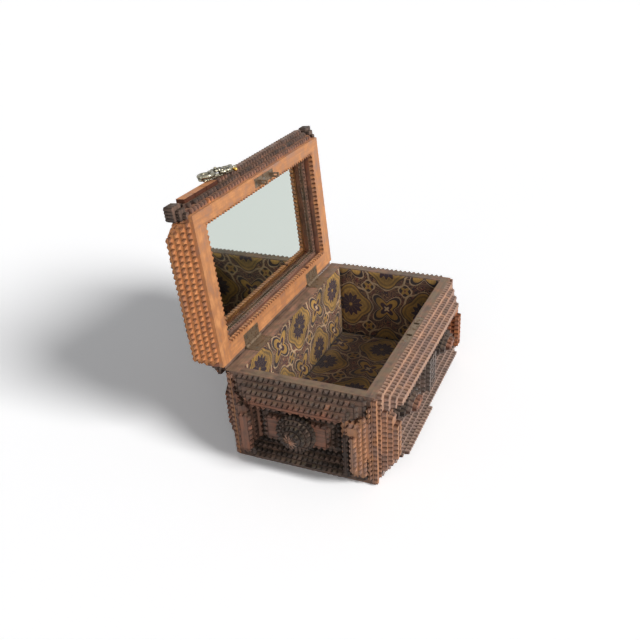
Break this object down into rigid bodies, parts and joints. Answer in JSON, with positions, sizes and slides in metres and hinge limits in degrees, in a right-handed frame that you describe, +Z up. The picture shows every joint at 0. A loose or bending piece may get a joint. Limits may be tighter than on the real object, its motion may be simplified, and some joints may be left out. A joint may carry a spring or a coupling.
{
  "type": "tramp art box",
  "caption": "Hinged wooden trinket box built up in stepped notch-carved layers, with a mirror in the lid, a cloth lining and a link-plate lock.",
  "frame": {"origin": "middle of the underside", "axes": "+Z up, front towards -Y, +X to the right when facing the front"},
  "size_m": [0.292, 0.1933, 0.2471],
  "materials": {
    "core_wood": "worn, dull varnish",
    "carved_wood": "dark old varnish, worn on the edges",
    "frame_cedar": "bare cedar",
    "lining_cloth": "woven figured cloth on card",
    "mirror": "silvered glass",
    "lock_iron": "dull, lightly rusted",
    "cast_metal": "tarnished"
  },
  "bodies": {
    "case": {"bottom_board": "core_wood", "front_board": "core_wood", "back_board": "core_wood", "left_board": "core_wood", "right_board": "core_wood", "lining_floor": "lining_cloth", "lining_front": "lining_cloth", "lining_back": "lining_cloth", "lining_left": "lining_cloth", "lining_right": "lining_cloth", "corner_strips": "carved_wood", "post_front_left": "carved_wood", "post_front_right": "carved_wood", "post_back_left": "carved_wood", "post_back_right": "carved_wood", "left_top_rail": "carved_wood", "left_bottom_rail": "carved_wood", "left_panel": "carved_wood", "left_boss": "carved_wood", "right_top_rail": "carved_wood", "right_bottom_rail": "carved_wood", "right_panel": "carved_wood", "right_boss": "carved_wood", "front_top_rail": "carved_wood", "front_bottom_rail": "carved_wood", "front_outer_strip": "carved_wood", "front_pier": "carved_wood", "front_lozenges": "carved_wood", "back_top_rail": "carved_wood", "back_bottom_rail": "carved_wood", "back_panel": "carved_wood", "lock_plate": "lock_iron", "lock_case": "lock_iron", "lock_screws": "lock_iron", "hinge_box_leaves": "lock_iron", "hinge_pins": "lock_iron", "hinge_box_screws": "lock_iron"},
    "lid": {"lid_panel": "core_wood", "lid_front_rail": "core_wood", "lid_back_rail": "core_wood", "lid_left_rail": "core_wood", "lid_right_rail": "core_wood", "frame_front": "frame_cedar", "frame_back": "frame_cedar", "frame_left": "frame_cedar", "frame_right": "frame_cedar", "lid_front_strips": "carved_wood", "lid_back_strips": "carved_wood", "lid_left_strips": "carved_wood", "lid_right_strips": "carved_wood", "lid_corner_blocks": "carved_wood", "lid_top_panel": "carved_wood", "mirror_glass": "mirror", "mirror_beads": "carved_wood", "link_plate": "lock_iron", "link_screws": "lock_iron", "hinge_lid_leaves": "lock_iron", "hinge_lid_screws": "lock_iron", "pull_ornament": "cast_metal"},
    "bolt": {"lock_bolt": "lock_iron"}
  },
  "joints": [
    {"name": "lid_hinge", "type": "hinge", "parent": "case", "child": "lid", "pos_m": [0, 0.0712, 0.0916], "axis": [1, 0, 0], "range_deg": [0, 94]},
    {"name": "bolt_slide", "type": "slide", "parent": "case", "child": "bolt", "axis": [1, 0, 0], "range_m": [0, 0.004]}
  ]
}
